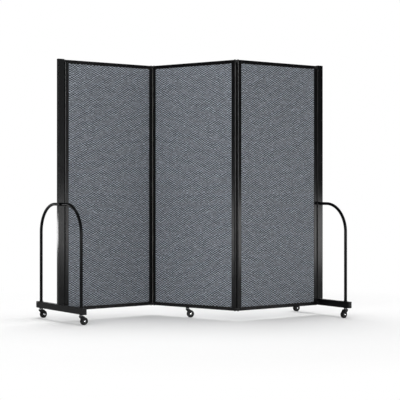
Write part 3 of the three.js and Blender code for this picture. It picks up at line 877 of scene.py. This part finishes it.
# ---------------------------------------------------------------- casters
def fork_body():
    """Two cheeks and a bridge with rounded shoulders, cut from one profile."""
    boss, boss_steps = 6.5 * MM, 24
    turns = [math.pi + math.pi * i / boss_steps for i in range(1, boss_steps)]
    underside = [
        (TRAIL + boss * math.cos(t), AXLE_HEIGHT + boss * math.sin(t), 0) for t in turns
    ]
    # The corners of the side view, out from the swivel's axis, and the radius that rounds each.
    corners = [
        (-10 * MM, BRIDGE_TOP, 1.5 * MM),
        (-10 * MM, BRIDGE_BOTTOM, 2.5 * MM),
        (TRAIL - boss, AXLE_HEIGHT, 0),
        *underside,
        (TRAIL + boss, AXLE_HEIGHT, 0),
        (18.5 * MM, BRIDGE_BOTTOM, 3 * MM),
        (12 * MM, BRIDGE_TOP, 2 * MM),
    ]
    outline = round_corners([(x, z) for x, z, _ in corners], [r for _, _, r in corners], 4)
    beyond, below = 100 * MM, -20 * MM  # the cut runs past the fork on every side but the bridge
    slot = [(-beyond, below), (beyond, below), (beyond, BRIDGE_BOTTOM), (-beyond, BRIDGE_BOTTOM)]
    body, tool = bmesh.new(), bmesh.new()
    for bm, side_view, half in ((body, outline, FORK_HALF), (tool, slot, FORK_SLOT)):
        loft(bm, [[(x, y, z) for x, z in side_view] for y in (-half, half)])
        outward_faces(bm)

    def shoulder(edge):
        """The long edges where the bridge's top meets the cheeks."""
        ends = [v.co for v in edge.verts]
        on_top = all(abs(co.z - BRIDGE_TOP) < CLOSE for co in ends)
        on_cheek = all(abs(abs(co.y) - FORK_HALF) < CLOSE for co in ends)
        return edge.calc_length() > 12 * MM and on_top and on_cheek

    cut = difference(body, tool)
    soften(cut, 2.6 * MM, segments=4, where=shoulder)
    return soften(cut, FINE_EDGE)


def difference(body, tool):
    """One closed mesh less another."""
    made = []
    for name, bm in (("cut_body", body), ("cut_tool", tool)):
        mesh = bpy.data.meshes.new(name)
        bm.to_mesh(mesh)
        bm.free()
        obj = bpy.data.objects.new(name, mesh)
        bpy.context.scene.collection.objects.link(obj)
        made.append(obj)
    modifier = made[0].modifiers.new("cut", "BOOLEAN")
    modifier.operation = "DIFFERENCE"
    modifier.solver = "EXACT"
    modifier.object = made[1]
    bpy.context.view_layer.update()
    result = bmesh.new()
    result.from_mesh(made[0].evaluated_get(bpy.context.evaluated_depsgraph_get()).data)
    for obj in made:
        mesh = obj.data
        bpy.data.objects.remove(obj)
        bpy.data.meshes.remove(mesh)
    return whole_faces(result)


def make_fork(name, place):
    """The fork with its swivel head, the bright race in the head, and the stem."""
    bm = fork_body()
    top = FLOOR_GAP - SEAT
    # Profiles of radius and height, from below to above.
    lower_head = [
        (0, BRIDGE_TOP - 2.5 * MM),
        (HEAD_RADIUS - 1.2 * MM, BRIDGE_TOP - 2.5 * MM),
        (HEAD_RADIUS - 0.3 * MM, BRIDGE_TOP - 2.2 * MM),
        (HEAD_RADIUS, BRIDGE_TOP - 1.4 * MM),
        (HEAD_RADIUS, BRIDGE_TOP + 2.3 * MM),
        (HEAD_RADIUS - 0.6 * MM, BRIDGE_TOP + 2.9 * MM),
        (0, BRIDGE_TOP + 2.9 * MM),
    ]
    race = [
        (0, BRIDGE_TOP + 2.5 * MM),
        (HEAD_RADIUS - 1.3 * MM, BRIDGE_TOP + 2.5 * MM),
        (HEAD_RADIUS - 1.3 * MM, BRIDGE_TOP + 4.4 * MM),
        (0, BRIDGE_TOP + 4.4 * MM),
    ]
    upper_head = [
        (0, BRIDGE_TOP + 4.0 * MM),
        (HEAD_RADIUS - 0.6 * MM, BRIDGE_TOP + 4.0 * MM),
        (HEAD_RADIUS, BRIDGE_TOP + 4.6 * MM),
        (HEAD_RADIUS, top - 1.5 * MM),
        (HEAD_RADIUS - 0.5 * MM, top - 0.5 * MM),
        (HEAD_RADIUS - 1.6 * MM, top),
        (0, top),
    ]
    stem = [
        (0, top - 1 * MM),
        (STEM_RADIUS, top - 1 * MM),
        (STEM_RADIUS, STEM_TOP - 0.8 * MM),
        (STEM_RADIUS - 0.8 * MM, STEM_TOP),
        (0, STEM_TOP),
    ]
    lathe(bm, lower_head, segments=48)
    for face in lathe(bm, race, segments=48):
        face.material_index = 1
    lathe(bm, upper_head, segments=48)
    lathe(bm, stem, segments=28)
    outward_faces(bm)
    look(f"{name}_caster_fork", bm, place, [FORK_PLASTIC, STEEL], "fork", angle=35)


def make_wheel(name, place):
    """Tyre and dished centre, with eight ribs on each side between the hub and the rim."""
    bore, hub, dish, rim, shoulder = (v * MM for v in (3.3, 8, 1.5, 17, 19.5))
    tread_half = 5.5 * MM  # beyond it the tyre rounds off
    floor = WHEEL_HALF - dish
    half = [
        (bore, WHEEL_HALF),
        (hub - 0.5 * MM, WHEEL_HALF),
        (hub, WHEEL_HALF - 0.4 * MM),
        (hub + 0.7 * MM, floor),
        (rim - 1.2 * MM, floor),
        (rim - 0.4 * MM, WHEEL_HALF - 0.35 * MM),
        (rim, WHEEL_HALF),
    ]
    for t in (QUARTER * i / 4 for i in range(5)):
        radius = shoulder + (WHEEL_RADIUS - shoulder) * math.sin(t)
        half.append((radius, tread_half + (WHEEL_HALF - tread_half) * math.cos(t)))
    half += [(WHEEL_RADIUS, 0.5 * MM), (WHEEL_RADIUS - 0.25 * MM, 0)]
    loop = half + [(r, -y) for r, y in reversed(half[:-1])]
    bm = with_wear_and_sheen(bmesh.new())
    for face in lathe(bm, loop, segments=72, closed=True, place=ABOUT_Y):
        centre = face.calc_center_median()
        face.material_index = 0 if math.hypot(centre.x, centre.z) > rim - CLOSE else 1

    ribs, rib_middle, rib_half_length, rib_half_width = 8, 12.2 * MM, 3.4 * MM, 0.7 * MM
    root, crest, flare = floor - 0.3 * MM, WHEEL_HALF - 0.6 * MM, 0.3 * MM
    first = len(bm.faces)
    for out in (1, -1):
        for i in range(ribs):
            turn = Matrix.Rotation(2 * math.pi * (i + 0.5) / ribs, 4, "Y")
            loops = []
            for y, grow in ((root, flare), (crest, 0)):
                outline = rounded_box(rib_half_length, rib_half_width + grow, 0.3 * MM, 2)
                loops.append([turn @ Vector((rib_middle + x, out * y, z)) for x, z in outline])
            loft(bm, loops)
    bm.faces.ensure_lookup_table()
    for face in bm.faces[first:]:
        face.material_index = 1
    outward_faces(bm)
    spot = place @ Matrix.Translation((TRAIL, 0, AXLE_HEIGHT))
    look(f"{name}_caster_wheel", bm, spot, [TYRE, WHEEL_CENTRE], "wheel", weighted=False)


def make_axle(name, place):
    """A riveted axle with domed heads."""
    seat = FORK_HALF + SEAT
    head, height, brim = 4.8 * MM, 1.5 * MM, 0.35 * MM
    dome = [
        (head * math.sin(t), seat + brim + (height - brim) * math.cos(t))
        for t in (0, 0.35, 0.7, 1.05, 1.35, QUARTER)
    ]
    half = dome + [(head, seat), (AXLE_RADIUS, seat)]
    bm = with_wear_and_sheen(bmesh.new())
    lathe(bm, half + [(r, -y) for r, y in reversed(half)], segments=36, place=ABOUT_Y)
    outward_faces(bm)
    spot = place @ Matrix.Translation((TRAIL, 0, AXLE_HEIGHT))
    look(f"{name}_caster_axle", bm, spot, [STEEL], "axle", angle=35, weighted=False)


for caster, spot in caster_places().items():
    make_fork(caster, spot)
    make_wheel(caster, spot)
    make_axle(caster, spot)


# ---------------------------------------------------------------- floor, light and camera
WHITE = (1, 1, 1, 1)
FLOOR_COLOUR = (0.74, 0.74, 0.74, 1)
FLOOR_HALF = 30
FLOOR_LIFT = 0.09  # a little light of its own, in the picture and in reflections
FLOOR_FADE = (1.3, 2.4)  # between these distances it turns into the background
SKY_LEVEL = 0.50  # how strongly the background lights matt faces
STUDIO_LEVEL = 0.10  # how bright polished faces see the near side of the studio
STUDIO_EDGE = (0.50, 0.85)  # Y of the directions where it gives way to white


def make_floor():
    """White matt floor. Away from the object it melts into the white of the background."""
    n = Material("studio_floor")
    n.tree.nodes.remove(n.shader)
    matte = n.add("ShaderNodeBsdfDiffuse", {"Color": FLOOR_COLOUR})
    lift = n.add("ShaderNodeEmission", {"Color": WHITE, "Strength": n.by_ray(FLOOR_LIFT, 0.0)})
    near = n.add("ShaderNodeAddShader", {0: matte.outputs[0], 1: lift.outputs[0]})
    white = n.add("ShaderNodeEmission", {"Color": WHITE})
    radius = n.add("ShaderNodeVectorMath", {0: n.object}, operation="LENGTH").outputs["Value"]
    away = n.spread(radius, FLOOR_FADE, (0, 1), curve="SMOOTHSTEP")
    share = n.math("MULTIPLY", away, n.by_ray(1.0, 0.0))
    inputs = {0: share, 1: near.outputs[0], 2: white.outputs[0]}
    total = n.add("ShaderNodeMixShader", inputs)
    n.put(n.tree.nodes["Material Output"].inputs["Surface"], total.outputs[0])
    bm = bmesh.new()
    bmesh.ops.create_grid(bm, x_segments=1, y_segments=1, size=FLOOR_HALF)
    mesh = bpy.data.meshes.new("studio_floor")
    bm.to_mesh(mesh)
    bm.free()
    mesh.materials.append(n.material)
    floor = bpy.data.objects.new("studio_floor", mesh)
    bpy.context.scene.collection.objects.link(floor)


def make_world():
    """White behind the object. Polished faces see the near side of the studio dark."""
    world = bpy.data.worlds.new("studio")
    world.use_nodes = True
    bpy.context.scene.world = world
    n = Nodes(world.node_tree)
    direction = n.add("ShaderNodeTexCoord").outputs["Generated"]
    away = n.add("ShaderNodeSeparateXYZ", {0: direction}).outputs["Y"]
    shade = n.spread(away, STUDIO_EDGE, (STUDIO_LEVEL, 1), curve="SMOOTHSTEP")
    polished = n.blend(n.light_path("Glossy"), 1.0, shade)
    background = n.tree.nodes["Background"]
    n.put(background.inputs["Color"], WHITE)
    strength = n.math("MULTIPLY", n.by_ray(1.0, SKY_LEVEL), polished)
    n.put(background.inputs["Strength"], strength)


def area_light(name, rays, place, target, size, radiance):
    """A rectangular softbox that lights matt faces, or only shows in polished ones."""
    light = bpy.data.lights.new(name, "AREA")
    light.shape = "RECTANGLE"
    light.size, light.size_y = size
    light.energy = radiance * math.pi * size[0] * size[1]
    obj = bpy.data.objects.new(name, light)
    bpy.context.scene.collection.objects.link(obj)
    obj.location = place
    obj.rotation_euler = (Vector(target) - Vector(place)).to_track_quat("-Z", "Y").to_euler()
    obj.visible_camera = False
    obj.visible_diffuse = rays == "diffuse"
    obj.visible_glossy = rays == "glossy"


make_floor()
make_world()
# Name, rays, place, target, size and radiance.
SOFTBOXES = [
    ("top_key", "diffuse", (0.1, 1.0, 5.5), (0.1, 0.2, 0.0), (3.4, 3.8), 6.1),
    ("front_fill", "diffuse", (-2.6, -5.6, 3.4), (0, 0, 0.8), (4.5, 3.0), 2.9),
    ("top_sheen", "glossy", (0.1, 0.3, 5.0), (0, 0, 0.5), (0.9, 0.7), 16.0),
    ("front_sheen", "glossy", (2.5, -5.7, 1.5), (0, 0, 0.9), (1.8, 2.6), 20.0),
    ("right_strip", "glossy", (2.7, -0.90, 0.42), (0.9, -0.3, 0.45), (1.9, 0.50), 6.6),
    ("right_sheen", "glossy", (2.7, -1.95, 1.45), (-0.77, -0.2, 1.2), (0.9, 2.2), 0.8),
    ("left_strip", "glossy", (-2.7, -1.05, 0.42), (0, -0.1, 0.45), (0.9, 0.50), 6.0),
    ("left_rim", "glossy", (-2.60, 0.56, 0.44), (-0.78, -0.2, 0.455), (0.36, 0.20), 20.0),
]
for softbox in SOFTBOXES:
    area_light(*softbox)

# The camera, worked out from the corners of the panels and feet in the photograph.
camera_data = bpy.data.cameras.new("photo_camera")
camera_data.lens = 108
camera_data.sensor_width = 36
camera_data.shift_y = -0.0267
camera_data.clip_end = 100
camera = bpy.data.objects.new("photo_camera", camera_data)
bpy.context.scene.collection.objects.link(camera)
camera.location = (0.039, -7.1585, 0.7667)
camera.rotation_euler = (QUARTER, 0, 0)
bpy.context.scene.camera = camera
bpy.context.scene.view_settings.view_transform = "Standard"
